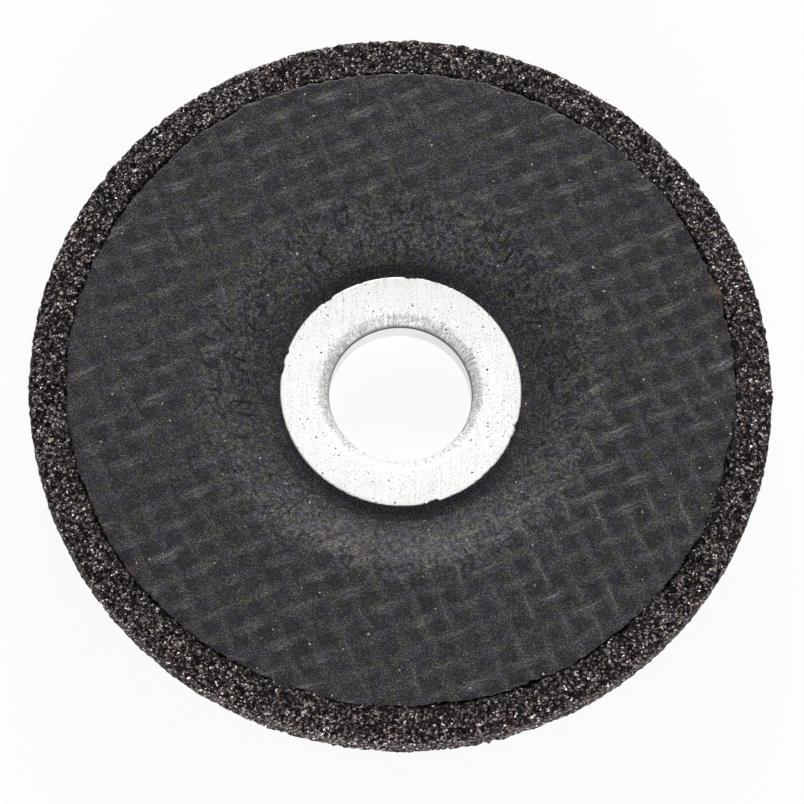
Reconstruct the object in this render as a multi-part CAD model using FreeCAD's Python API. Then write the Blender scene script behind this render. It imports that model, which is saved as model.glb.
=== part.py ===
"""Depressed-centre cut-off wheel, 115 mm, for an angle grinder.

The wheel lies with its recess up, on the raised back of its hub. It is pressed in one mould from a
resin-bonded grit body, a glass-fibre mesh on each face and a flanged steel ring that lines the bore.
Every piece is round, so each one is a section in the plane of radius and height, turned about Z.

Frame: Z is the wheel's axis, Z = 0 is the back face of the hub, +Z looks out of the recess, and X and Y
run along the threads of the mesh. Millimetres.
"""
import FreeCAD, Part

import math
import os

Vector = FreeCAD.Vector

# Wheel
wheel_diameter = 115.0
wheel_thickness = 6.0        # front face to back face, the same at the hub and at the rim
hub_depression = 4.6         # how far the hub is set back from the rim
edge_round = 1.0             # worn round on both edges of the rim

# Recess for the clamping nut
floor_margin = 3.5           # flat floor left round the ring's flange
slope_run = 6.8              # radial length of the slope from the floor up to the face
floor_round = 1.5            # where the floor turns up into the slope
mouth_round = 5.0            # where the slope rolls over into the face
least_round = 1.0            # tightest bend that the pressed mix fills

# Glass-fibre mesh
rim_band = 5.8               # width of bare grit outside the mesh
mesh_thickness = 0.5
edge_crevice = 0.5           # open groove between the cut edge of the mesh and the grit
thread_pitch = 4.0
thread_width = 1.6
window_depth = 0.12          # how far the squares between the threads lie below them
weave_margin = 0.6           # pressed smooth beside the slope and beside the cut edge

# Flanged ring, pressed from sheet
bore_diameter = 22.23
flange_diameter = 37.5
sheet_thickness = 0.8
bend_inner_radius = 1.6
flange_stand = 0.6           # how far the flange stands out of the mesh it is pressed into
collar_setback = 0.2         # how far the collar stops short of the hub's back face

# Sizes that follow
wheel_radius = wheel_diameter / 2
rim_back = hub_depression
rim_front = hub_depression + wheel_thickness
hub_front = wheel_thickness
mesh_radius = wheel_radius - rim_band
seat_radius = mesh_radius + edge_crevice
bore_radius = bore_diameter / 2
flange_radius = flange_diameter / 2
collar_radius = bore_radius + sheet_thickness
bend_outer_radius = bend_inner_radius + sheet_thickness
flange_top = hub_front + flange_stand
floor_radius = flange_radius + floor_margin
slope_angle = math.atan(hub_depression / slope_run)
overrun = 1.0                # how far a cutting tool runs past what it cuts


def on_section(radius, height):
    """The point of the X-Z plane at this radius and height."""
    return Vector(radius, 0, height)


def rounded_path(points, rounds):
    """Edges through the points, with a tangent arc of the given radius at each inner point.

    A radius of zero leaves the corner sharp.
    """
    edges = []
    here = points[0]
    for corner, following, radius in zip(points[1:-1], points[2:], rounds):
        back = (here - corner).normalize()
        ahead = (following - corner).normalize()
        half = back.getAngle(ahead) / 2
        if radius > 0:
            reach = radius / math.tan(half)
            bisector = (back + ahead).normalize()
            middle = corner + bisector * (radius / math.sin(half) - radius)
            start = corner + back * reach
            end = corner + ahead * reach
            edges.append(Part.LineSegment(here, start).toShape())
            edges.append(Part.Arc(start, middle, end).toShape())
            here = end
        else:
            edges.append(Part.LineSegment(here, corner).toShape())
            here = corner
    edges.append(Part.LineSegment(here, points[-1]).toShape())
    return edges


def turned(points, rounds):
    """The solid that a closed section sweeps about Z, with a round for each point after the first."""
    edges = rounded_path(points + points[:1], rounds)
    face = Part.Face(Part.Wire(Part.__sortEdges__(edges)))
    return face.revolve(Vector(0, 0, 0), Vector(0, 0, 1), 360)


def slope_foot(depth):
    """Radius at which the floor would meet the slope, on the dished surface this deep below the front face."""
    return floor_radius + depth * math.tan(slope_angle / 2)


def mouth_bend(depth):
    """Radius of the bend at the mouth of the recess: a deeper surface turns tighter."""
    return max(mouth_round - depth, least_round)


def flat_start(depth):
    """Radius at which the dished surface this deep below the front face has become flat."""
    return slope_foot(depth) + slope_run + mouth_bend(depth) * math.tan(slope_angle / 2)


def dish(depth, inner_radius, outer_radius):
    """Points and rounds of the dished surface this deep below the front face: hub floor, slope and rim.

    All such surfaces are parallel, so a layer between two of them has one thickness.
    """
    foot = slope_foot(depth)
    points = [
        on_section(inner_radius, hub_front - depth),
        on_section(foot, hub_front - depth),
        on_section(foot + slope_run, rim_front - depth),
        on_section(outer_radius, rim_front - depth),
    ]
    return points, [floor_round + depth, mouth_bend(depth)]


def dished_layer(upper_depth, lower_depth, inner_radius, outer_radius):
    """The layer between two parallel dished surfaces, from a central hole to a cylindrical edge."""
    upper, upper_rounds = dish(upper_depth, inner_radius, outer_radius)
    lower, lower_rounds = dish(lower_depth, inner_radius, outer_radius)
    return turned(upper + lower[::-1], upper_rounds + [0, 0] + lower_rounds[::-1] + [0])


def ring_outline(inner_radius, bottom):
    """Outer side of the ring, from the top of the flange round its edge and the bend and down the collar."""
    points = [
        on_section(flange_radius, flange_top),
        on_section(flange_radius, flange_top - sheet_thickness),
        on_section(collar_radius, flange_top - sheet_thickness),
        on_section(collar_radius, bottom),
        on_section(inner_radius, bottom),
    ]
    return points, [0, bend_inner_radius, 0]


def centre_ring():
    """Flanged steel ring: a flat flange on the floor of the recess, bent down into a collar that is the bore."""
    points, rounds = ring_outline(bore_radius, collar_setback)
    return turned(points + [on_section(bore_radius, flange_top)], rounds + [0, bend_outer_radius])


def ring_pocket():
    """The space that the ring and its bore take out of the layers it is moulded into."""
    points, rounds = ring_outline(0, -overrun)
    return turned(points + [on_section(0, flange_top)], rounds + [0, 0])


def abrasive_body():
    """Resin-bonded grit: full thickness at the rim, and seated back for the mesh on both faces."""
    front, front_rounds = dish(mesh_thickness, collar_radius, seat_radius)
    back, back_rounds = dish(wheel_thickness - mesh_thickness, collar_radius, seat_radius)
    rim = [
        on_section(seat_radius, rim_back),
        on_section(wheel_radius, rim_back),
        on_section(wheel_radius, rim_front),
        on_section(seat_radius, rim_front),
    ]
    body = turned(
        back + rim + front[::-1],
        back_rounds + [0, 0, edge_round, edge_round, 0, 0] + front_rounds[::-1] + [0],
    )
    return body.cut(ring_pocket())


def weave_windows(low, high, inner_radius, outer_radius):
    """The squares between the threads, as blocks from one height to the other.

    A thread of each set crosses the axis. A square is kept where all of it lies in the woven band.
    """
    side = thread_pitch - thread_width
    count = math.ceil(outer_radius / thread_pitch)
    blocks = []
    for column in range(-count, count):
        for row in range(-count, count):
            x = column * thread_pitch + thread_width / 2
            y = row * thread_pitch + thread_width / 2
            nearest = math.hypot(min(abs(x), abs(x + side)), min(abs(y), abs(y + side)))
            furthest = math.hypot(max(abs(x), abs(x + side)), max(abs(y), abs(y + side)))
            if nearest > inner_radius and furthest < outer_radius:
                blocks.append(Part.makeBox(side, side, high - low, Vector(x, y, low)))
    return Part.makeCompound(blocks)


def front_mesh():
    """Glass mesh pressed into the front face. Its threads stand out on the flat outside the recess."""
    layer = dished_layer(0, mesh_thickness, collar_radius, mesh_radius).cut(ring_pocket())
    inner_radius = flat_start(0) + weave_margin
    outer_radius = mesh_radius - weave_margin
    return layer.cut(
        weave_windows(rim_front - window_depth, rim_front + overrun, inner_radius, outer_radius)
    )


def back_mesh():
    """Glass mesh pressed into the back face, which the wheel rests on at the hub."""
    upper_depth = wheel_thickness - mesh_thickness
    layer = dished_layer(upper_depth, wheel_thickness, collar_radius, mesh_radius).cut(ring_pocket())
    inner_radius = flat_start(wheel_thickness) + weave_margin
    outer_radius = mesh_radius - weave_margin
    return layer.cut(
        weave_windows(rim_back - overrun, rim_back + window_depth, inner_radius, outer_radius)
    )


def main():
    """Writes one STEP file for each piece."""
    os.makedirs("parts", exist_ok=True)
    pieces = {
        "abrasive_body": abrasive_body(),
        "front_mesh": front_mesh(),
        "back_mesh": back_mesh(),
        "centre_ring": centre_ring(),
    }
    for name, shape in pieces.items():
        shape.exportStep("parts/" + name + ".step")
        print(name, "solids", len(shape.Solids), "valid", shape.isValid(), "mm3", round(shape.Volume, 1))


main()
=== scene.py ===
"""Looks of a depressed-centre cut-off wheel: bare grit at the rim, glass mesh in both faces, a steel ring.

Shapes are worked out in millimetres in the wheel's own frame and put into metres when a mesh is made.
"""
import logging
import math
from dataclasses import dataclass
from enum import Enum

import bpy
import numpy as np
from bpy.types import Material, Node, NodeSocket, NodeTree, Object
from mathutils import Matrix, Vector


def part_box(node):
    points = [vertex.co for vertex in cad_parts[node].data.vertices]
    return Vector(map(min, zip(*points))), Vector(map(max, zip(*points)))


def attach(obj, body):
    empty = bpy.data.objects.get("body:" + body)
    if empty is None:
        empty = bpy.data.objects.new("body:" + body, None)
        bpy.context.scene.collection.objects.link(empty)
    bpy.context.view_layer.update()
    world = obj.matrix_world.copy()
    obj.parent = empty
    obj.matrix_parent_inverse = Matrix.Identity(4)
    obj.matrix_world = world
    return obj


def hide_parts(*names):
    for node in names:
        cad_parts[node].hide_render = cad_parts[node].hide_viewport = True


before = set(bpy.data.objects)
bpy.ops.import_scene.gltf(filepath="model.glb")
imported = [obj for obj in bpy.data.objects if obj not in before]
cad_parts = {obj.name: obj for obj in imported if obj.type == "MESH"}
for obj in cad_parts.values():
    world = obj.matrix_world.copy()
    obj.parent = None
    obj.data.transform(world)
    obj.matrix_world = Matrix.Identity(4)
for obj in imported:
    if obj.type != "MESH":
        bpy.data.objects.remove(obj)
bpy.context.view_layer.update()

METRES = 0.001                          # metres in a millimetre
IMAGE_SIZE = 804                        # pixels of the photograph, both ways
LEVEL = np.array([1.0, 1.0, 0.0])       # times a place, drops its height
ARC_STEPS = 8                           # straight steps in each rounded corner of a section
SCATTER = np.array([374761393, 668265263, 2147483647], np.uint32)  # odd numbers that part neighbouring cells

Spots = tuple[tuple[float, float], ...]  # angle and half width of places round the wheel, in degrees
Stops = tuple[tuple[float, str], ...]    # place and sRGB hex colour of the stops of a colour ramp

log = logging.getLogger("wheel")


# Numbers and noise

def smooth_step(low: float, high: float, value: np.ndarray) -> np.ndarray:
    """Rises from 0 at low to 1 at high along t*t*(3 - 2t).

    Args:
        low: Value that gives 0.
        high: Value that gives 1.
        value: Where to look.

    Returns:
        An array shaped like value.
    """
    t = np.clip((value - low) / (high - low), 0.0, 1.0)
    return t * t * (3.0 - 2.0 * t)


def lattice_values(cells: np.ndarray, seed: int) -> np.ndarray:
    """Mixes whole-number cells into numbers from 0 to 1, the same in each run.

    Args:
        cells: Whole numbers, the last axis holding x, y and z.
        seed: Picks another set of numbers.

    Returns:
        One number a cell.
    """
    mixed = (cells.astype(np.int64).astype(np.uint32) * SCATTER).sum(axis=-1, dtype=np.uint32)
    mixed = mixed + np.uint32((seed * 3266489917) % 2**32)
    mixed = (mixed ^ (mixed >> np.uint32(13))) * np.uint32(1274126177)
    mixed = (mixed ^ (mixed >> np.uint32(16))) * np.uint32(2246822519)
    mixed = mixed ^ (mixed >> np.uint32(15))
    return mixed.astype(np.float64) / 2**32


def smooth_noise(points: np.ndarray, size: float, seed: int, octaves: int = 1) -> np.ndarray:
    """Value noise: random numbers on a cubic lattice, blended smoothly between its corners.

    Args:
        points: Places in mm, the last axis holding x, y and z.
        size: Lattice spacing in mm. Each further octave halves it and the height.
        seed: Picks another pattern.
        octaves: How many sizes are added up.

    Returns:
        Numbers from about -1 to 1.
    """
    total = np.zeros(points.shape[:-1])
    reach = 0.0
    for octave in range(octaves):
        scaled = points / (size / 2**octave)
        cell = np.floor(scaled)
        part = scaled - cell
        part = part * part * (3.0 - 2.0 * part)
        value = np.zeros(points.shape[:-1])
        for corner in np.ndindex(2, 2, 2):
            weight = np.prod(np.where(np.array(corner) == 1, part, 1.0 - part), axis=-1)
            value += weight * lattice_values(cell + np.array(corner), seed + octave)
        total += (2.0 * value - 1.0) / 2**octave
        reach += 1.0 / 2**octave
    return total / reach


def grain_field(points: np.ndarray, size: float, seed: int) -> tuple[np.ndarray, np.ndarray]:
    """Cellular noise: one grain at a random place in each cube of the lattice.

    Args:
        points: Places in mm, the last axis holding x, y and z.
        size: Spacing of the grains in mm.
        seed: Picks another set of grains.

    Returns:
        Distance to the nearest grain's middle in spacings, and that grain's own number from 0 to 1.
    """
    scaled = points / size
    cell = np.floor(scaled)
    nearest = np.full(points.shape[:-1], 9.0)
    owner = np.zeros(points.shape[:-1])
    for step in np.ndindex(3, 3, 3):
        neighbour = cell + np.array(step) - 1
        middle = neighbour + np.stack([lattice_values(neighbour, seed + axis) for axis in range(3)], axis=-1)
        distance = np.linalg.norm(scaled - middle, axis=-1)
        closer = distance < nearest
        nearest = np.where(closer, distance, nearest)
        owner = np.where(closer, lattice_values(neighbour, seed + 7), owner)
    return nearest, owner


# Sections and surfaces

def rounded_line(points: list[tuple[float, float]], rounds: list[float]) -> np.ndarray:
    """A line through the points with a tangent arc at each inner one.

    An arc of radius r starts r / tan(half the corner) before its corner. Its middle lies on the bisector.

    Args:
        points: Radius and height of each corner in mm.
        rounds: Arc radius at each inner corner, 0 for a sharp one.

    Returns:
        Points along the line.
    """
    corners = np.array(points, float)
    line = [corners[:1]]
    for before, corner, after, radius in zip(corners[:-2], corners[1:-1], corners[2:], rounds):
        if radius <= 0:
            line.append(corner[None])
            continue
        back = (before - corner) / np.linalg.norm(before - corner)
        ahead = (after - corner) / np.linalg.norm(after - corner)
        half = math.acos(float(np.clip(back @ ahead, -1, 1))) / 2
        middle = corner + (back + ahead) / np.linalg.norm(back + ahead) * radius / math.sin(half)
        start = corner + back * radius / math.tan(half)
        end = corner + ahead * radius / math.tan(half)
        t = np.linspace(0.0, 1.0, ARC_STEPS + 1)[:, None]
        chord = start + (end - start) * t - middle
        line.append(middle + chord / np.linalg.norm(chord, axis=1, keepdims=True) * radius)
    line.append(corners[-1:])
    return np.concatenate(line)


def evenly(line: np.ndarray, count: int, both_ends: bool = False) -> np.ndarray:
    """Points at even steps of length along a line.

    Args:
        line: Points of the line.
        count: How many points to give.
        both_ends: Gives the last point of the line too.

    Returns:
        The points.
    """
    lengths = np.concatenate([[0.0], np.cumsum(np.linalg.norm(np.diff(line, axis=0), axis=1))])
    at = np.linspace(0.0, lengths[-1], count, endpoint=both_ends)
    return np.stack([np.interp(at, lengths, line[:, 0]), np.interp(at, lengths, line[:, 1])], axis=-1)


def turned(section: np.ndarray, columns: int) -> tuple[np.ndarray, np.ndarray]:
    """Carries a closed section round the wheel's axis.

    A point (r, z) at the angle a lands at (r cos a, r sin a, z). The normal stands across the line that joins
    the points before and after it.

    Args:
        section: Radius and height of each point, clockwise as seen with the radius to the right.
        columns: Steps round the axis.

    Returns:
        Grids of places and of outward unit normals, rows by columns by three.
    """
    angle = np.linspace(0.0, 2.0 * math.pi, columns, endpoint=False)
    along = np.roll(section, -1, axis=0) - np.roll(section, 1, axis=0)
    along /= np.maximum(np.linalg.norm(along, axis=1, keepdims=True), 1e-9)
    places = on_circle(angle, section[:, :1], section[:, 1:])
    normals = on_circle(angle, -along[:, 1:], along[:, :1])
    return places, normals


def on_circle(angle: np.ndarray, radius: np.ndarray | float, height: np.ndarray | float = 0.0) -> np.ndarray:
    """Places (r cos a, r sin a, z) about the wheel's axis. Noise that is read there has no seam."""
    return np.stack([radius * np.cos(angle), radius * np.sin(angle), height + 0.0 * angle], axis=-1)


def polar(places: np.ndarray) -> tuple[np.ndarray, np.ndarray]:
    """Radius in mm and angle in radians of each place about the wheel's axis."""
    return np.linalg.norm(places[..., :2], axis=-1), np.arctan2(places[..., 1], places[..., 0])


def moved_out(places: np.ndarray, by: np.ndarray) -> np.ndarray:
    """Moves each place away from the wheel's axis by so many mm, at its own height."""
    scale = 1.0 + by / np.maximum(polar(places)[0], 1.0)
    return places * np.stack([scale, scale, np.ones_like(scale)], axis=-1)


def near_spots(angle: np.ndarray, spots: Spots, full: float, none: float) -> np.ndarray:
    """How near each angle is to the nearest of some spots round the wheel.

    Args:
        angle: Angles in radians.
        spots: The spots.
        full: How far from a spot's middle the share stays 1, in half widths of the spot.
        none: Where it has come down to 0 along the smooth step, in the same unit.

    Returns:
        Shares from 0 to 1.
    """
    share = np.zeros(angle.shape)
    for middle, half_width in spots:
        off = np.abs((np.degrees(angle) - middle + 180.0) % 360.0 - 180.0)
        share = np.maximum(share, 1.0 - smooth_step(half_width * full, half_width * none, off))
    return share


def closed_surface(name: str, places: np.ndarray, fields: dict[str, np.ndarray]) -> Object:
    """Makes an object from a grid that closes on itself both ways.

    Each point joins the next one along its row and along its column, and the last ones join the first.

    Args:
        name: Name of the object.
        places: Grid of places in mm.
        fields: Named numbers, one a point, kept as attributes of the mesh. A field with two numbers a point
            becomes a UV map.

    Returns:
        The object, linked to the scene.
    """
    rows, columns = places.shape[:2]
    index = np.arange(rows * columns).reshape(rows, columns)
    beside = np.roll(index, -1, axis=1)
    quads = np.stack([index, beside, np.roll(beside, -1, axis=0), np.roll(index, -1, axis=0)], axis=-1)
    quads = quads.reshape(-1, 4)
    mesh = bpy.data.meshes.new(name)
    mesh.from_pydata((places.reshape(-1, 3) * METRES).tolist(), [], quads.tolist())
    mesh.polygons.foreach_set("use_smooth", np.ones(len(quads), bool))
    for field_name, values in fields.items():
        if values.ndim == 3:
            layer = mesh.uv_layers.new(name=field_name)
            layer.data.foreach_set("uv", values.reshape(-1, 2)[quads.reshape(-1)].ravel())
        else:
            attribute = mesh.attributes.new(field_name, "FLOAT", "POINT")
            attribute.data.foreach_set("value", values.ravel())
    mesh.update()
    thing = bpy.data.objects.new(name, mesh)
    bpy.context.collection.objects.link(thing)
    return thing


# Sizes

@dataclass(frozen=True)
class WheelSizes:
    """Sizes that the pieces share, in mm. Those of the frame are read from it, the rest are the pressing's."""

    wheel_radius: float
    rim_front: float
    rim_back: float
    hub_front: float
    mesh_radius: float
    mesh_thickness: float
    flange_radius: float
    flange_top: float
    collar_end: float
    floor_margin: float = 3.5
    slope_run: float = 6.8
    floor_round: float = 1.5
    mouth_round: float = 5.0
    least_round: float = 1.0
    edge_round: float = 1.0
    edge_crevice: float = 0.5
    bore_radius: float = 11.115
    sheet_thickness: float = 0.8
    bend_inner_radius: float = 1.6

    @classmethod
    def from_frame(cls) -> "WheelSizes":
        """Reads the outer sizes of the pieces from the frame."""
        body, front, back, ring = (
            [np.array(corner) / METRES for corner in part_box(node)]
            for node in ("abrasive_body", "front_mesh", "back_mesh", "centre_ring")
        )
        thickness = body[0][2] - back[0][2]
        rim_back = back[1][2] - thickness
        return cls(
            wheel_radius=body[1][0],
            rim_front=body[1][2],
            rim_back=rim_back,
            hub_front=body[1][2] - rim_back,
            mesh_radius=front[1][0],
            mesh_thickness=thickness,
            flange_radius=ring[1][0],
            flange_top=ring[1][2],
            collar_end=ring[0][2],
        )

    @property
    def floor_radius(self) -> float:
        """Radius at which the floor of the recess would meet the slope."""
        return self.flange_radius + self.floor_margin

    @property
    def slope_end(self) -> float:
        """Radius at which the slope would meet the face."""
        return self.floor_radius + self.slope_run

    @property
    def seat_radius(self) -> float:
        """Outer radius of the mesh's seat in the grit."""
        return self.mesh_radius + self.edge_crevice

    @property
    def collar_radius(self) -> float:
        """Outer radius of the ring's collar."""
        return self.bore_radius + self.sheet_thickness

    @property
    def under_flange(self) -> float:
        """Height of the flange's lower side."""
        return self.flange_top - self.sheet_thickness

    @property
    def thickness(self) -> float:
        """From the front face to the back face."""
        return self.rim_front - self.rim_back

    def dish(self, depth: float, inner_radius: float, outer_radius: float) -> np.ndarray:
        """Line of the dished surface this deep below the front face, from the hub out to the rim."""
        half_slope = math.atan2(self.rim_back, self.slope_run) / 2
        foot = self.floor_radius + depth * math.tan(half_slope)
        points = [
            (inner_radius, self.hub_front - depth),
            (foot, self.hub_front - depth),
            (foot + self.slope_run, self.rim_front - depth),
            (outer_radius, self.rim_front - depth),
        ]
        mouth = max(self.mouth_round - depth, self.least_round)
        return rounded_line(points, [self.floor_round + depth, mouth])


# Materials

def linear(colour: str) -> tuple[float, float, float, float]:
    """Turns an sRGB hex colour such as #445566 into linear red, green, blue and alpha."""
    channels = np.array([int(colour[i:i + 2], 16) for i in (1, 3, 5)]) / 255.0
    values = np.where(channels <= 0.04045, channels / 12.92, ((channels + 0.055) / 1.055) ** 2.4)
    return (*(float(v) for v in values), 1.0)


def per_mm(size: float) -> float:
    """Texture scale on Object coordinates, which are in metres, for a pattern of this size in mm."""
    return 1.0 / (size * METRES)


class Value:
    """One output of a node. A sum on it adds the node for that sum, so that a finish reads as a formula."""

    def __init__(self, socket: NodeSocket) -> None:
        """Keeps the output's socket."""
        self.socket = socket

    def __getitem__(self, output: str | int) -> "Value":
        """Another output of the same node, by its name or number."""
        return Value(self.socket.node.outputs[output])

    def sum(self, operation: str, *others: "Value | float") -> "Value":
        """This value and the others put through one of Blender's Math operations."""
        return add_node(self.socket.id_data, "Math", (self, *others), operation=operation)

    def __add__(self, other: "Value | float") -> "Value":
        """This plus the other."""
        return self.sum("ADD", other)

    def __sub__(self, other: "Value | float") -> "Value":
        """This less the other."""
        return self.sum("SUBTRACT", other)

    def __rsub__(self, number: float) -> "Value":
        """A plain number less this."""
        return add_node(self.socket.id_data, "Math", (number, self), operation="SUBTRACT")

    def __mul__(self, other: "Value | float") -> "Value":
        """This times the other."""
        return self.sum("MULTIPLY", other)

    def __abs__(self) -> "Value":
        """This without its sign."""
        return self.sum("ABSOLUTE")


def feed(node: Node, inputs: dict | tuple) -> None:
    """Links each Value to its input and writes any other value into it.

    Args:
        node: The node.
        inputs: What the inputs get, by their names or numbers, or in Blender's order where it is a tuple.
    """
    for key, value in (inputs if isinstance(inputs, dict) else dict(enumerate(inputs))).items():
        if isinstance(value, Value):
            node.id_data.links.new(value.socket, node.inputs[key])
        else:
            node.inputs[key].default_value = value


def add_node(tree: NodeTree, kind: str, inputs: dict | tuple = (), stops: Stops = (),
             stepped: bool = False, **settings: object) -> Value:
    """Adds a node with its settings and links.

    A MapRange takes its value, then the range that it reads and the range that it gives.

    Args:
        tree: Where the node goes.
        kind: Blender's name of the node, such as Math, without the ShaderNode before it.
        inputs: What its inputs get, as feed takes it.
        stops: Stops of a colour ramp.
        stepped: Each colour of the ramp holds until the next. Otherwise they blend.
        settings: Properties of the node.

    Returns:
        The node's first output.
    """
    node = tree.nodes.new("ShaderNode" + kind)
    for name, value in settings.items():
        setattr(node, name, value)
    if stops:
        node.color_ramp.interpolation = "CONSTANT" if stepped else "LINEAR"
        marks = node.color_ramp.elements
        while len(marks) < len(stops):
            marks.new(0.5)
        for mark, (place, colour) in zip(marks, stops):
            mark.position = place
            mark.color = linear(colour)
    feed(node, inputs)
    return Value(node.outputs[0])


def blank_material(name: str) -> tuple[Material, NodeTree, Node]:
    """Makes a material with a Principled shader and gives it, its node tree and the shader."""
    material = bpy.data.materials.new(name)
    material.use_nodes = True
    return material, material.node_tree, material.node_tree.nodes["Principled BSDF"]


@dataclass(frozen=True)
class BondedGrit:
    """Silicon carbide and alumina grains in black phenolic resin, pressed and cured.

    The eye sees dark lumps with deep pores between them, and here and there a bare facet that glints grey,
    brown or violet. The palest facets are painted near white, a painted highlight that stands in for glints.
    """

    grain_mm: float = 0.62
    facet_mm: float = 0.27
    crumb_mm: float = 0.17
    cloud_mm: float = 2.2
    relief_mm: float = 0.35
    tilt: float = 1.3
    specular_level: float = 0.08
    shaded_from: float = 52.0
    shaded_to: float = 54.6
    resin: str = "#100e0e"
    shade: str = "#3b3332"
    brown: str = "#6e5850"
    violet: str = "#60586a"
    facet: str = "#a0958f"
    painted_glint: str = "#eeeae8"

    def make(self) -> Material:
        """Builds the material. Each facet is one cell, with its own colour, gloss and lean.

        The colour is darkened in the pores as painted shade, dimmed by a slow cloud and on some crumbs, and
        darkened towards the inner edge as painted shade of the crevice.

        Returns:
            The material, named for the bonded grit.
        """
        material, tree, shader = blank_material("resin_bonded_grit")
        where = add_node(tree, "TexCoord")["Object"]
        grains, facets, crumbs = (
            add_node(tree, "TexVoronoi", {"Vector": where, "Scale": per_mm(size)})
            for size in (self.grain_mm, self.facet_mm, self.crumb_mm))
        cloud = add_node(tree, "TexNoise", {"Vector": where, "Scale": per_mm(self.cloud_mm), "Detail": 4.0})
        pick = add_node(tree, "SeparateColor", (facets["Color"],))
        crumb = add_node(tree, "SeparateColor", (crumbs["Color"],))
        # the last stop, near white, is a painted highlight: painted glints on the palest facets
        colour = add_node(tree, "ValToRGB", (pick,), stops=(
            (0.0, self.resin), (0.30, self.shade), (0.50, self.brown), (0.64, self.violet), (0.76, self.facet),
            (0.95, self.painted_glint)), stepped=True)
        # painted shade: the colour is darkened in the pores between the grains
        pores = add_node(tree, "MapRange", (grains, 0.42, 0.68, 1.0, 0.05))
        dim = add_node(tree, "MapRange", (cloud, 0.3, 0.7, 0.85, 1.2))
        broken = add_node(tree, "MapRange", (crumb, 0.10, 1.0, 0.0, 2.3))
        flat = add_node(tree, "VectorMath", (where, tuple(LEVEL)), operation="MULTIPLY")
        radius = add_node(tree, "VectorMath", (flat,), operation="LENGTH")["Value"]
        # painted shade of the crevice: the grit is darker towards its inner edge
        painted_edge_shade = add_node(tree, "MapRange", (
            radius, self.shaded_from * METRES, self.shaded_to * METRES, 0.65, 1.0))
        level = pores * dim * (broken * painted_edge_shade)
        shaded = add_node(tree, "VectorMath", {0: colour, 3: level}, operation="SCALE")
        gloss = add_node(tree, "MapRange", (pick["Blue"], 0.0, 1.0, 0.25, 0.85))
        lean = add_node(tree, "VectorMath", (facets["Color"], (0.5,) * 3), operation="SUBTRACT")
        leaned = add_node(tree, "VectorMath", (
            lean, (self.tilt,) * 3, add_node(tree, "NewGeometry")["Normal"]), operation="MULTIPLY_ADD")
        straight = add_node(tree, "VectorMath", (leaned,), operation="NORMALIZE")
        bump = add_node(tree, "Bump", {
            "Height": grains * -1.0, "Normal": straight, "Strength": 0.7, "Distance": self.relief_mm * METRES})
        feed(shader, {"Base Color": shaded, "Specular IOR Level": self.specular_level, "Roughness": gloss,
                      "Normal": bump})
        return material


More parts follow.
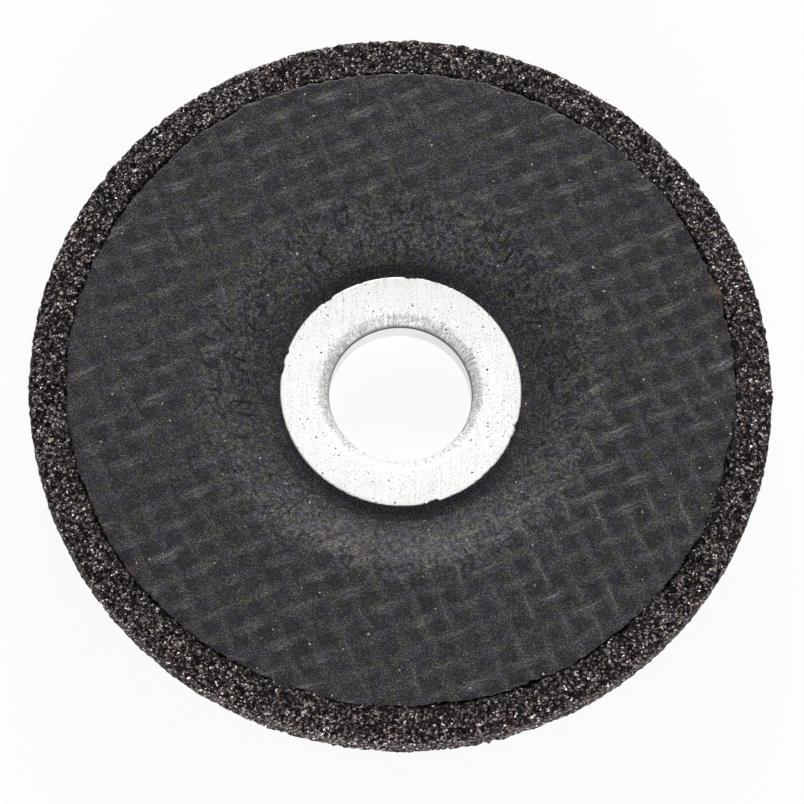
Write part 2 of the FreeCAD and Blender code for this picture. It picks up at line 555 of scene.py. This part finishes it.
@dataclass(frozen=True)
class ResinedGlassMesh:
    """Glass-fibre cloth soaked in black phenolic resin and pressed flat against the mould.

    The eye sees soft black tiles with a thin lit edge along each thread, a grain as fine as felt, loose hairs,
    a few pale specks, and amber fibre where the cloth is cut.
    """

    thread_share: float = 0.42
    edge_share: float = 0.11
    painted_crest_share: float = 0.08
    shadow_share: float = 0.07
    wobble_mm: float = 1.7
    felt_mm: float = 0.22
    pile_mm: float = 0.8
    patch_mm: float = 6.0
    cast_mm: float = 2.2
    hair_mm: float = 6.0
    speck_mm: float = 2.2
    relief_mm: float = 0.10
    roughness: float = 0.55
    specular_level: float = 0.12
    hollow: str = "#0d0d0d"
    resin: str = "#302e30"
    worn: str = "#7c7776"
    # pale colour of the painted highlight along the thread crests
    painted_crest: str = "#928e8a"
    # near black of the painted shadow beside threads and in the creases
    painted_shadow: str = "#020202"
    cool: str = "#ece7ff"
    olive: str = "#fffdea"
    hair: str = "#7a7672"
    speck: str = "#bfbab1"
    fibre: str = "#56402f"

    def make(self) -> Material:
        """Builds the material. It reads the thread map, in which a whole number is the middle of a thread.

        The weave is the higher of the two thread sets, and the windows are what neither covers. The raised
        threads are painted a little lighter and the windows darker, as painted light and shade of the weave.
        Felt, pile and patches are noise from fine to coarse. Over the grey that they give lie the painted
        highlights on the thread crests, the painted shadows beside threads and in creases, the hairs, the specks
        and the bare fibre of the cut edge, in this order.

        Returns:
            The material, named for the soaked mesh.
        """
        material, tree, shader = blank_material("resin_soaked_glass_mesh")
        where = add_node(tree, "TexCoord")["Object"]
        both = add_node(tree, "SeparateXYZ", (add_node(tree, "UVMap", uv_map="threads"),))
        x_shown, y_shown, cut, painted_crease_shade, rumpled = (
            add_node(tree, "Attribute", attribute_name=name)["Fac"]
            for name in ("woven_x", "woven_y", "cut_edge", "painted_crease_shade", "rumpled"))
        wobble, felt, pile, patch, cast = (
            add_node(tree, "TexNoise", {
                "Vector": where, "Scale": per_mm(size), "Detail": detail, "Roughness": rough})
            for size, detail, rough in ((self.wobble_mm, 2.0, 0.5), (self.felt_mm, 1.0, 0.5),
                                        (self.pile_mm, 4.0, 0.62), (self.patch_mm, 3.0, 0.5),
                                        (self.cast_mm, 1.0, 0.5)))
        x_height, x_painted_crest, x_width, _ = self.thread_set(tree, both["X"], both["Y"], wobble, 0.0)
        y_height, y_painted_crest, y_width, beside = self.thread_set(tree, both["Y"], both["X"], wobble, 1.0)
        weave = (x_height * x_shown).sum("MAXIMUM", y_height * y_shown)
        # painted highlight: pale strokes on the crests stand in for the lit edges of the threads
        painted_crest = (x_painted_crest * x_shown).sum("MAXIMUM", y_painted_crest * y_shown)
        # painted shade: the windows between the threads, where neither set covers
        painted_window_shade = (1.0 - x_width) * (1.0 - y_width) * x_shown
        lumps = rumpled * (pile * 0.70 - 0.29)
        tone = felt * 1.15 + (pile * 0.28 + (patch * 0.10 + (lumps - 0.26)))
        # painted light and shade of the weave: raised threads a little lighter, windows darker
        grey = add_node(tree, "ValToRGB", (weave * 0.05 + (painted_window_shade * -0.09 + tone),), stops=(
            (0.20, self.hollow), (0.50, self.resin), (0.85, self.worn)))
        tint = add_node(tree, "ValToRGB", (cast,), stops=((0.42, self.cool), (0.68, self.olive)))
        colour = add_node(tree, "Mix", {0: 1.0, 6: grey, 7: tint}, data_type="RGBA", blend_type="MULTIPLY")[2]
        frayed = add_node(tree, "MapRange", (cut * pile, 0.30, 0.65))
        # the mixes lay painted highlights, then painted shadows, then hairs, specks and fibre of the cut edge
        for share, over in (
                (painted_crest * (felt * 1.4 - 0.28), self.painted_crest),
                (beside * (1.0 - y_shown) * 0.7 + painted_crease_shade, self.painted_shadow),
                (self.hairs(tree, where) * 0.25, self.hair), (self.specks(tree, where), self.speck),
                (frayed, self.fibre)):
            colour = add_node(tree, "Mix", {0: share, 6: colour, 7: linear(over)}, data_type="RGBA")[2]
        relief = weave * 2.0 + (painted_crest * 0.6 + (pile * (rumpled * 2.6 + 2.2) + felt))
        bump = add_node(tree, "Bump", {"Height": relief, "Strength": 1.0, "Distance": self.relief_mm * METRES})
        feed(shader, {"Base Color": colour, "Roughness": self.roughness,
                      "Specular IOR Level": self.specular_level, "Normal": bump})
        return material

    def specks(self, tree: NodeTree, where: Value) -> Value:
        """Grains of pale dust, one in some of the cells of a plan, each bent out of round by fine noise.

        Args:
            tree: Where the nodes go.
            where: Object coordinates.

        Returns:
            1 on a speck and 0 off it.
        """
        bend = add_node(tree, "TexNoise", {"Vector": where, "Scale": per_mm(0.3), "Detail": 0.0})["Color"]
        bent = add_node(tree, "VectorMath", (bend, (0.3 * METRES,) * 3, where), operation="MULTIPLY_ADD")
        cells = add_node(tree, "TexVoronoi", {"Vector": bent, "Scale": per_mm(self.speck_mm)},
                         voronoi_dimensions="2D")
        chance = add_node(tree, "SeparateColor", (cells["Color"],))
        return cells.sum("LESS_THAN", chance["Green"] * 0.05 + 0.022) * chance.sum("GREATER_THAN", 0.90)

    def hairs(self, tree: NodeTree, where: Value) -> Value:
        """Thin curved lines, each a few millimetres long.

        A hair is where slow noise passes its middle value, kept only where other noise is high.

        Args:
            tree: Where the nodes go.
            where: Object coordinates.

        Returns:
            1 on a hair and 0 off it.
        """
        slow = add_node(tree, "TexNoise", {
            "Vector": where, "Scale": per_mm(self.hair_mm), "Detail": 0.0, "Distortion": 0.3})
        mask = add_node(tree, "TexNoise", {"Vector": where, "Scale": per_mm(self.hair_mm * 0.45), "Detail": 0.0})
        line = add_node(tree, "MapRange", (abs(slow - 0.47), 0.0, 0.008, 1.0, 0.0))
        return line * add_node(tree, "MapRange", (mask, 0.56, 0.62))

    def thread_set(self, tree: NodeTree, along: Value, across: Value, wobble: Value,
                   shift: float) -> tuple[Value, Value, Value, Value]:
        """One set of threads: its height, the painted highlights on its crests, its width and the painted
        shadow line beside it, each 0 to 1.

        The height is the width's profile times half of one plus the cosine of half a turn a crossing, so a
        thread rises over every second thread of the other set. Where it is up, its crests get a pale painted
        highlight in a short stroke, on some threads more than on others.

        Args:
            tree: Where the nodes go.
            along: Thread map along these threads.
            across: Thread map across them.
            wobble: Slow noise that bends the threads.
            shift: 0 for the set that is up where the two whole numbers add up to an even one, 1 for the other.

        Returns:
            The height, the painted highlights, the width and the painted shadow line.
        """
        bent = wobble * 0.30 + (across - 0.15)
        number = bent.sum("ROUND")
        signed = bent - number
        half_width = self.thread_share / 2
        profile, line = (
            add_node(tree, "MapRange", (abs(signed), inner, outer, 1.0, 0.0), interpolation_type="SMOOTHSTEP")
            for inner, outer in ((half_width - self.edge_share, half_width + self.edge_share),
                                 (0.0, self.painted_crest_share)))
        turn = along + number + shift
        rise = (turn * math.pi).sum("COSINE") * 0.5 + 0.5
        place = add_node(tree, "CombineXYZ", ((turn * 0.5).sum("ROUND"), number, shift + 0.5))
        chance = add_node(tree, "TexWhiteNoise", (place,))
        # how strong the painted highlight is on each crossing
        painted_shading = add_node(tree, "MapRange", (chance, 0.2, 1.0))
        # painted shadow: a dark line beside the thread's edge, on some crossings
        beside = add_node(tree, "MapRange", (abs(signed - half_width), 0.0, self.shadow_share, 1.0, 0.0))
        return profile * rise, line * painted_shading * rise, profile, beside * rise * chance.sum("GREATER_THAN", 0.45)


@dataclass(frozen=True)
class PressedSteel:
    """Bright steel sheet, pressed to a flange and a collar, with resin dust and splashes from the mould.

    The eye sees an even silver with fine streaks round the mouth, black specks, and resin that laps over
    the flange's edge. The grey band in the mouth and the thin dark line at the bore's edge are painted shade,
    and the collar's wall is painted lighter as painted light.
    """

    steel: str = "#e8e8e6"
    # darker end of the steel's tone, reached by random streaks and by the painted shade in the mouth
    grey_and_shaded_steel: str = "#a4a4a3"
    # colour of the painted shade line at the bore's edge, where the bend meets the wall
    painted_shading: str = "#4e4e4e"
    dirt: str = "#2a2827"
    streak_mm: float = 0.24
    streak_run_mm: float = 15.0
    cloud_mm: float = 3.0
    fine_mm: float = 0.30
    roll_mm: float = 0.22
    roll_length_mm: float = 5.0
    rolled_deg: float = -22.2
    relief_mm: float = 0.04
    mouth_radius: float = 13.9
    bore_radius: float = 11.115
    bend_end: float = 4.2
    dust: tuple[tuple[float, float, float], ...] = ((0.8, 0.11, 2.00), (1.8, 0.06, 1.93))

    def make(self) -> Material:
        """Builds the material. A streak's noise is read at the point's direction from the axis, so it runs out.

        The collar's wall lies below the bend's end. The bend runs from there to the mouth's radius. Each kind
        of dust has its spacing in mm, the spread of its specks' sizes and how rare it is.

        Returns:
            The material, named for the pressed steel.
        """
        material, tree, shader = blank_material("pressed_bright_steel")
        where = add_node(tree, "TexCoord")["Object"]
        height = add_node(tree, "SeparateXYZ", (where,))["Z"]
        flat = add_node(tree, "VectorMath", (where, tuple(LEVEL)), operation="MULTIPLY")
        radius = add_node(tree, "VectorMath", (flat,), operation="LENGTH")["Value"]
        outward = add_node(tree, "VectorMath", (flat,), operation="NORMALIZE")
        drift = add_node(tree, "CombineXYZ", (0.0, 0.0, (radius + height) * 0.12))
        run = add_node(tree, "VectorMath", (outward, (self.streak_run_mm * METRES,) * 3, drift),
                       operation="MULTIPLY_ADD")
        grain = add_node(tree, "Mapping", {
            "Vector": where, "Rotation": (0.0, 0.0, math.radians(self.rolled_deg)),
            "Scale": (self.roll_mm * METRES, *(self.roll_length_mm * METRES,) * 2)}, vector_type="TEXTURE")
        streaks, cloud, fine, rolled = (
            add_node(tree, "TexNoise", {"Vector": place, "Scale": scale, "Detail": detail})
            for place, scale, detail in (
                (run, per_mm(self.streak_mm), 2.0), (where, per_mm(self.cloud_mm), 6.0),
                (where, per_mm(self.fine_mm), 2.0), (grain, 1.0, 2.0)))
        mouth, wall, edge = (
            add_node(tree, "MapRange", (value, full * METRES, none * METRES, 1.0, 0.0))
            for value, full, none in ((radius, self.bore_radius, self.mouth_radius),
                                      (height, self.bend_end - 0.25, self.bend_end),
                                      (height, self.bend_end + 0.2, self.bend_end + 1.1)))
        bend = mouth * (1.0 - wall)
        # bend and band darken the mouth in the tone below: painted shade of the curved mouth
        band = add_node(tree, "MapRange", (bend, 0.30, 0.55), interpolation_type="SMOOTHSTEP")
        worn = (streaks - 0.5) * (bend * 0.9 + 0.2) + (rolled - 0.5) * 0.4
        # the wall term is painted light that keeps the collar's wall near white
        tone = worn + (fine + (cloud * 0.2 + (bend * -0.16 + (band * -0.10 + wall * 0.3))))
        plain = add_node(tree, "ValToRGB", (tone,), stops=((0.18, self.grey_and_shaded_steel), (0.60, self.steel)))
        lap = add_node(tree, "Attribute", attribute_name="resin_lap")["Fac"]
        dirty = add_node(tree, "MapRange", (fine * 0.8 + lap, 0.90, 1.0))
        bent = add_node(tree, "VectorMath", (fine["Color"], (0.15 * METRES,) * 3, where),
                        operation="MULTIPLY_ADD")
        for size, spread, rarity in self.dust:
            cells = add_node(tree, "TexVoronoi", {"Vector": bent, "Scale": per_mm(size)},
                             voronoi_dimensions="2D")
            chance = add_node(tree, "SeparateColor", (cells["Color"],))
            speck = cells.sum("LESS_THAN", chance["Green"] * spread + 0.04) * (
                cloud * 2.2 + chance).sum("GREATER_THAN", rarity)
            dirty = dirty.sum("MAXIMUM", speck * (1.0 - wall))
        colour = plain
        # edge times bend lays the painted shade line at the bore's edge; dirty lays the specks and resin
        for share, over in ((edge * bend, self.painted_shading), (dirty, self.dirt)):
            colour = add_node(tree, "Mix", {0: share, 6: colour, 7: linear(over)}, data_type="RGBA")[2]
        rough = add_node(tree, "MapRange", (fine, 0.0, 1.0, 0.42, 0.62))
        bump = add_node(tree, "Bump", {
            "Height": worn * 0.7 + fine, "Strength": 0.5, "Distance": self.relief_mm * METRES})
        feed(shader, {"Base Color": colour, "Metallic": (1.0 - dirty) * (wall * 0.25 + (bend * 0.17 + 0.75)),
                      "Roughness": band * 0.3 + rough, "Normal": bump})
        return material


# Pieces

class Face(Enum):
    """The two faces of the wheel."""

    FRONT = "front"
    BACK = "back"


@dataclass
class GritBody:
    """The pressed grit: a lumpy rim all round, and plain seats where a mesh or the ring covers it."""

    sizes: WheelSizes
    columns: int = 1090
    rim_rows: int = 62
    back_rows: int = 14
    front_rows: int = 12
    lump_mm: float = 2.6
    grain_mm: float = 0.85
    chip_mm: float = 0.45
    lump_height: float = 0.16
    grain_height: float = 0.28
    chip_height: float = 0.12
    fallen_share: float = 0.16
    lap: float = 0.50
    lap_spread: float = 0.45
    lap_width: float = 1.6

    def build(self) -> Object:
        """Turns the section and lifts the bare rim by its grains.

        Height = lumps + grains + chips. A grain stands up by one less the square of the distance to its middle,
        so grains meet in sharp valleys. One grain in six has fallen out and leaves a pit.

        Returns:
            The piece.
        """
        s = self.sizes
        seat = s.seat_radius
        rim = rounded_line([
            (seat, s.rim_front - s.mesh_thickness), (seat, s.rim_front), (s.wheel_radius, s.rim_front),
            (s.wheel_radius, s.rim_back), (seat, s.rim_back), (seat, s.rim_back + s.mesh_thickness),
        ], [0.0, s.edge_round, s.edge_round, 0.0])
        back = s.dish(s.thickness - s.mesh_thickness, s.collar_radius, seat)[::-1]
        collar = np.array([(s.collar_radius, s.mesh_thickness),
                           (s.collar_radius, s.under_flange - s.bend_inner_radius)])
        front = s.dish(s.mesh_thickness, s.collar_radius + s.bend_inner_radius, seat)
        section = np.concatenate([
            evenly(rim, self.rim_rows), evenly(back, self.back_rows), evenly(collar, 2),
            evenly(front, self.front_rows)])
        places, normals = turned(section, self.columns)
        bare = np.zeros((len(section), 1))
        bare[2:self.rim_rows - 2] = 1.0
        lumps = smooth_noise(places, self.lump_mm, 11, 2) * self.lump_height
        distance, owner = grain_field(places, self.grain_mm, 21)
        grains = (1.0 - np.minimum(distance, 1.0) ** 2) * np.where(
            owner < self.fallen_share, -0.3, 0.6 + 0.6 * owner)
        chips, _ = grain_field(places, self.chip_mm, 31)
        height = lumps + (grains - 0.75) * self.grain_height - chips * self.chip_height
        places = places + normals * (height * bare)[..., None]
        return closed_surface("grit_body", self.lapped_over(places, bare), {})

    def lapped_over(self, places: np.ndarray, bare: np.ndarray) -> np.ndarray:
        """Leans the inner edge of the bare rim over the crevice, here more and there less.

        Args:
            places: Grid of places in mm.
            bare: 1 for each row of the bare rim, 0 for the others.

        Returns:
            The moved places.
        """
        seat = self.sizes.seat_radius
        flat = places * LEVEL
        uneven = smooth_noise(flat, 1.8, 41, 2) + 0.6 * smooth_noise(flat, 9.0, 43)
        share = (1.0 - smooth_step(seat, seat + self.lap_width, polar(places)[0])) * bare
        return moved_out(places, -(self.lap + self.lap_spread * uneven) * share)


@dataclass
class GlassMesh:
    """A woven glass mesh pressed into one face, with its threads, its smooth hub and its frayed cut edge."""

    sizes: WheelSizes
    face: Face
    columns: int = 880
    shown_rows: int = 92
    hidden_rows: int = 8
    uneven_rows: int = 2
    tucked: float = 0.4
    pitch: float = 4.0
    thread_share: float = 0.42
    edge_share: float = 0.07
    relief: float = 0.16
    squeezed_height: float = 0.40
    drawn_in: float = 1.4
    crease_circle: float = 27.0
    crossing_at: Spots = ((-72.0, 50.0),)
    frayed_at: Spots = ((88.7, 3.0), (82.0, 2.5), (-5.5, 7.0), (158.0, 2.0), (-177.0, 2.0), (-166.0, 2.0))

    def build(self) -> Object:
        """Turns the section of the pressed layer and makes the rows beside the ring uneven.

        The front layer shows from just under the flange's edge, the back one from the collar. The face itself
        is smooth, and its threads and creases are drawn by the material alone, from the fields kept here. The
        rows beside the ring are lifted by the weave, and on the front by the resin that the flange squeezed up.

        Returns:
            The piece.
        """
        s = self.sizes
        front = self.face is Face.FRONT
        outer_depth = 0.0 if front else s.thickness
        inner_depth = s.mesh_thickness if front else s.thickness - s.mesh_thickness
        start = s.collar_radius + (s.bend_inner_radius if front else 0.0)
        outer = s.dish(outer_depth, s.flange_radius - self.tucked if front else start, s.mesh_radius)
        inner = s.dish(inner_depth, start, s.mesh_radius)[::-1]
        section = np.concatenate([
            evenly(outer, self.shown_rows, True), np.linspace(outer[-1], inner[0], 4)[1:-1],
            evenly(inner, self.hidden_rows, True)])
        if front:
            section = np.concatenate([section, [(start, s.hub_front)]])
        uneven = (np.arange(len(section)) < self.uneven_rows)[:, None]
        if not front:
            section, uneven = section[::-1], uneven[::-1]
        places, normals = turned(section, self.columns)
        threads = self.thread_map(places)
        shown = self.shown_threads(places)
        painted_crease_shade, rumpled = self.creases(places)
        lift = (self.weave(threads, shown) - 1.0) * self.relief + smooth_noise(places, 1.4, 51, 2) * 0.035
        lift = lift + self.squeezed_height if front else np.minimum(lift, 0.0)
        places = self.cut_unevenly(places + normals * (lift * uneven)[..., None])
        return closed_surface(f"{self.face.value}_glass_mesh", places, {
            "threads": threads, "woven_x": shown[0], "woven_y": shown[1], "painted_crease_shade": painted_crease_shade,
            "rumpled": rumpled, "cut_edge": self.cut_share(places)})

    def thread_map(self, places: np.ndarray) -> np.ndarray:
        """Where each place lies among the threads: whole numbers are the middles of threads.

        The cloth is drawn in by the length of the slope, and wanders by up to half a millimetre.

        Args:
            places: Grid of places in mm.

        Returns:
            Two numbers a place.
        """
        s = self.sizes
        radius, _ = polar(places)
        drawn = self.drawn_in * (1.0 - smooth_step(s.floor_radius, s.slope_end + 2.0, radius))
        level = places * LEVEL
        wander = sum(
            np.stack([smooth_noise(level, size, seed, octaves), smooth_noise(level, size, seed + 10, octaves)],
                     axis=-1) * reach
            for size, seed, octaves, reach in ((17.0, 61, 2, 0.9), (5.0, 63, 1, 0.22)))
        return (places[..., :2] * ((radius - drawn) / radius)[..., None] + wander) / self.pitch

    def weave(self, threads: np.ndarray, shown: tuple[np.ndarray, np.ndarray]) -> np.ndarray:
        """Height of the weave from 0 to about 1: the higher of the two thread sets at each place."""
        heights = []
        half_width = self.thread_share / 2
        for along, across, shift in ((0, 1, 0.0), (1, 0, 1.0)):
            number = np.round(threads[..., across])
            off = np.abs(threads[..., across] - number)
            profile = 1.0 - smooth_step(half_width - self.edge_share, half_width + self.edge_share, off)
            rise = 0.5 + 0.5 * np.cos(math.pi * (threads[..., along] + number + shift))
            heights.append(profile * rise * shown[along])
        return np.maximum(*heights)

    def shown_threads(self, places: np.ndarray) -> tuple[np.ndarray, np.ndarray]:
        """How much each thread set shows: in patches on the flat, less on the slope, hardly on the hub.

        The X threads show nearly everywhere, the Y threads mostly near the angle in crossing_at.
        """
        s = self.sizes
        level = places * LEVEL
        radius, angle = polar(places)
        share = 0.2 + 0.8 * smooth_step(s.floor_radius + 2.0, s.slope_end + 3.0, radius)
        near = near_spots(angle, self.crossing_at, 0.4, 1.5)
        x_shown = 0.85 + 0.9 * smooth_noise(level, 5.0, 81, 2)
        y_shown = 0.10 + 0.9 * near + 0.8 * smooth_noise(level, 6.0, 85, 2)
        return np.clip(share * x_shown, 0.0, 1.3), np.clip(share * y_shown, 0.0, 1.5)

    def creases(self, places: np.ndarray) -> tuple[np.ndarray, np.ndarray]:
        """Sharp creases that run up the slope, which the material draws as lines of painted shade.

        A crease lies where noise stretched along the radius passes zero, in the places that a second noise
        picks. How far off it a place is, in mm, is the noise over its change a millimetre round the wheel.

        Args:
            places: Grid of places in mm.

        Returns:
            How deep each place lies in a crease and how much it lies on the slope, both 0 to 1.
        """
        s = self.sizes
        radius, angle = polar(places)
        level = places * LEVEL
        ring = on_circle(angle, self.crease_circle, radius / 2.5)
        ring = ring + smooth_noise(level, 2.5, 95)[..., None] * 0.5
        band = smooth_step(s.floor_radius - 0.5, s.floor_radius + 1.5, radius)
        band = band * (1.0 - smooth_step(s.slope_end, s.slope_end + 5.0, radius))
        picked = smooth_step(-0.05, 0.20, smooth_noise(level, 2.4, 97, 2))
        folds = smooth_noise(ring, 1.7, 99)
        step = 2.0 * math.pi * radius / self.columns
        change = np.abs(np.roll(folds, -1, axis=1) - np.roll(folds, 1, axis=1)) / (2.0 * step)
        line = 1.0 - smooth_step(0.04, 0.28, np.abs(folds) / np.maximum(change, 0.02))
        return line * picked * band, band

    def cut_unevenly(self, places: np.ndarray) -> np.ndarray:
        """Moves the cut edge in and out by a few tenths of a millimetre."""
        edge = self.sizes.mesh_radius
        radius, angle = polar(places)
        ring = on_circle(angle, edge)
        uneven = smooth_noise(ring, 5.0, 101, 2) * 0.4 + smooth_noise(ring, 0.9, 105, 2) * 0.3 - 0.15
        return moved_out(places, uneven * smooth_step(edge - 1.5, edge, radius))

    def cut_share(self, places: np.ndarray) -> np.ndarray:
        """How much bare fibre shows at the cut edge: a little all round, and more at the spots of frayed_at."""
        edge = self.sizes.mesh_radius
        radius, angle = polar(places)
        share = np.maximum(near_spots(angle, self.frayed_at, 0.6, 1.4), 0.12)
        return share * smooth_step(edge - 0.9, edge - 0.3, radius)


@dataclass
class CentreRing:
    """The pressed steel ring, with nicks round the flange where the resin laps over it."""

    sizes: WheelSizes
    columns: int = 800
    rows: int = 100
    lip: float = 0.15
    nick_mm: float = 0.9
    nick_depth: float = 0.30
    lapped_at: Spots = ((105.6, 3.5), (138.3, 1.6), (147.2, 3.5), (63.0, 3.5), (-96.8, 3.0), (-39.6, 2.0))

    def build(self) -> Object:
        """Turns the sheet's section and moves the flange's edge in by its nicks.

        Returns:
            The piece.
        """
        s = self.sizes
        seam = (s.bore_radius + 5.0, s.flange_top)
        section = rounded_line([
            seam, (s.flange_radius, s.flange_top), (s.flange_radius, s.under_flange),
            (s.collar_radius, s.under_flange), (s.collar_radius, s.collar_end),
            (s.bore_radius, s.collar_end), (s.bore_radius, s.flange_top), seam,
        ], [self.lip, self.lip, s.bend_inner_radius, self.lip, self.lip,
            s.bend_inner_radius + s.sheet_thickness])
        places, _ = turned(evenly(section, self.rows), self.columns)
        radius, angle = polar(places)
        bites = near_spots(angle, self.lapped_at, 0.5, 1.2)
        uneven = smooth_noise(on_circle(angle, s.flange_radius), self.nick_mm, 111, 2)
        nicks = np.maximum(uneven - 0.25 + 0.75 * bites, 0.0) * self.nick_depth
        inset = s.flange_radius - radius
        lap = 0.45 * (1.0 - smooth_step(0.0, 0.30, inset))
        lap = lap + bites * 0.45 * (1.0 - smooth_step(0.2, 0.8, inset))
        places = moved_out(places, -nicks * smooth_step(s.flange_radius - 0.6, s.flange_radius, radius))
        return closed_surface("steel_ring", places, {"resin_lap": lap})


# Studio

def standing(right: np.ndarray, up: np.ndarray, back: np.ndarray, place: np.ndarray) -> Matrix:
    """Matrix of a camera or a lamp from its three directions and its place in metres."""
    table = np.eye(4)
    table[:3] = np.stack([right, up, back, place], axis=-1)
    return Matrix(table.tolist())


@dataclass(frozen=True)
class Lamp:
    """A square soft lamp. Azimuth 0 is the photograph's right, 90 its top."""

    name: str
    azimuth_deg: float
    elevation_deg: float
    side_m: float
    watts: float
    distance_m: float = 1.2


@dataclass(frozen=True)
class Studio:
    """White floor, soft lamps and the camera at the photograph's viewing angle.

    The photograph is taken steeply from above. Its right-hand direction lies turned_deg from the X threads.
    """

    turned_deg: float = -22.2
    lean_deg: float = 5.5
    elevation_deg: float = 71.3
    distance_mm: float = 700.0
    pixels_per_mm: float = 6.457
    aim_height_mm: float = 8.0
    aim_pixel: tuple[float, float] = (401.15, 387.2)
    sensor_mm: float = 36.0
    floor_half_m: float = 3.0
    floor_height_m: float = -0.00002
    floor_glow: float = 0.93
    room_strength: float = 0.08
    lamps: tuple[Lamp, ...] = (
        Lamp("lamp_window", 90.0, 12.0, 0.6, 28.0),
        Lamp("lamp_front_low", -90.0, 12.0, 0.5, 13.0),
        Lamp("lamp_front_right", -50.0, 25.0, 0.5, 3.5),
        Lamp("lamp_above", -90.0, 75.0, 0.6, 1.5),
    )

    def towards(self, azimuth_deg: float, elevation_deg: float) -> np.ndarray:
        """Unit vector to a place round the wheel. Azimuth 0 is the photograph's right, 90 its top."""
        azimuth, elevation = math.radians(azimuth_deg + self.turned_deg), math.radians(elevation_deg)
        return np.array([math.cos(elevation) * math.cos(azimuth), math.cos(elevation) * math.sin(azimuth),
                         math.sin(elevation)])

    def camera(self) -> Object:
        """Sets up the camera.

        Its right and up vectors are rolled by the lean of the wheel's outline, and it is moved sideways until
        the aimed point falls on its pixel.

        Returns:
            The camera.
        """
        back = self.towards(-90.0 - self.lean_deg, self.elevation_deg)
        level = self.towards(-self.lean_deg, 0.0)
        steep = np.cross(back, level)
        lean = math.radians(self.lean_deg)
        right = math.cos(lean) * level + math.sin(lean) * steep
        up = -math.sin(lean) * level + math.cos(lean) * steep
        across, down = (pixel - IMAGE_SIZE / 2 for pixel in self.aim_pixel)
        aim = np.array([0.0, 0.0, self.aim_height_mm]) + (up * down - right * across) / self.pixels_per_mm
        data = bpy.data.cameras.new("camera")
        data.sensor_width = self.sensor_mm
        data.lens = self.pixels_per_mm * self.distance_mm * self.sensor_mm / IMAGE_SIZE
        data.clip_start, data.clip_end = 0.01, 20.0
        camera = bpy.data.objects.new("camera", data)
        bpy.context.collection.objects.link(camera)
        camera.matrix_world = standing(right, up, back, (aim + back * self.distance_mm) * METRES)
        bpy.context.scene.camera = camera
        return camera

    def hang(self, lamp: Lamp) -> Object:
        """Hangs a lamp so that it faces the wheel."""
        data = bpy.data.lights.new(lamp.name, "AREA")
        data.size = lamp.side_m
        data.energy = lamp.watts
        hung = bpy.data.objects.new(lamp.name, data)
        bpy.context.collection.objects.link(hung)
        back = self.towards(lamp.azimuth_deg, lamp.elevation_deg)
        right = self.towards(lamp.azimuth_deg + 90.0, 0.0)
        hung.matrix_world = standing(right, np.cross(back, right), back, back * lamp.distance_m)
        return hung

    def floor(self) -> Object:
        """Lays a floor that looks white to the camera and still takes the wheel's shadow."""
        mesh = bpy.data.meshes.new("floor")
        half, low = self.floor_half_m, self.floor_height_m
        mesh.from_pydata([(-half, -half, low), (half, -half, low), (half, half, low), (-half, half, low)], [],
                         [(0, 1, 2, 3)])
        floor = bpy.data.objects.new("floor", mesh)
        bpy.context.collection.objects.link(floor)
        material, tree, shader = blank_material("white_paper_floor")
        feed(shader, {"Base Color": linear("#f4f4f4"), "Roughness": 0.9})
        glow = add_node(tree, "Emission", {"Color": linear("#ffffff"), "Strength": 1.0})
        share = self.seen(tree) * self.floor_glow
        mixed = add_node(tree, "MixShader", (share, Value(shader.outputs[0]), glow))
        feed(tree.nodes["Material Output"], {"Surface": mixed})
        mesh.materials.append(material)
        return floor

    def seen(self, tree: NodeTree) -> Value:
        """1 for what the camera sees, straight or in steel, and 0 for light on its way."""
        path = add_node(tree, "LightPath")
        indirect = path["Is Glossy Ray"].sum("MAXIMUM", path["Is Transmission Ray"])
        return path["Is Camera Ray"].sum("MAXIMUM", indirect)

    def world(self) -> None:
        """Lights the room dimly. The camera and the steel see it white."""
        world = bpy.data.worlds.new("room")
        bpy.context.scene.world = world
        world.use_nodes = True
        tree = world.node_tree
        dim = tree.nodes["Background"]
        feed(dim, {"Color": linear("#ffffff"), "Strength": self.room_strength})
        white = add_node(tree, "Background", {"Color": linear("#ffffff"), "Strength": 1.0})
        mixed = add_node(tree, "MixShader", (self.seen(tree), Value(dim.outputs[0]), white))
        feed(tree.nodes["World Output"], {"Surface": mixed})

    def build(self) -> None:
        """Sets up the floor, the room, the lamps and the camera."""
        bpy.context.scene.view_settings.view_transform = "Standard"
        self.floor()
        self.world()
        for lamp in self.lamps:
            self.hang(lamp)
        self.camera()


def dress(piece: Object, material: Material, node: str) -> None:
    """Gives a piece its material and its body, hides the frame's node that it stands for and logs it."""
    piece.data.materials.append(material)
    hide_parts(node)
    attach(piece, "root")
    log.info("%s stands for %s with %d faces", piece.name, node, len(piece.data.polygons))


def main() -> None:
    """Builds the wheel's pieces, dresses them and sets up the studio."""
    logging.basicConfig(level=logging.INFO)
    sizes = WheelSizes.from_frame()
    mesh_finish = ResinedGlassMesh().make()
    dress(GritBody(sizes).build(), BondedGrit().make(), "abrasive_body")
    dress(GlassMesh(sizes, Face.FRONT).build(), mesh_finish, "front_mesh")
    dress(GlassMesh(sizes, Face.BACK).build(), mesh_finish, "back_mesh")
    dress(CentreRing(sizes).build(), PressedSteel().make(), "centre_ring")
    Studio().build()


if __name__ == "__main__":
    main()
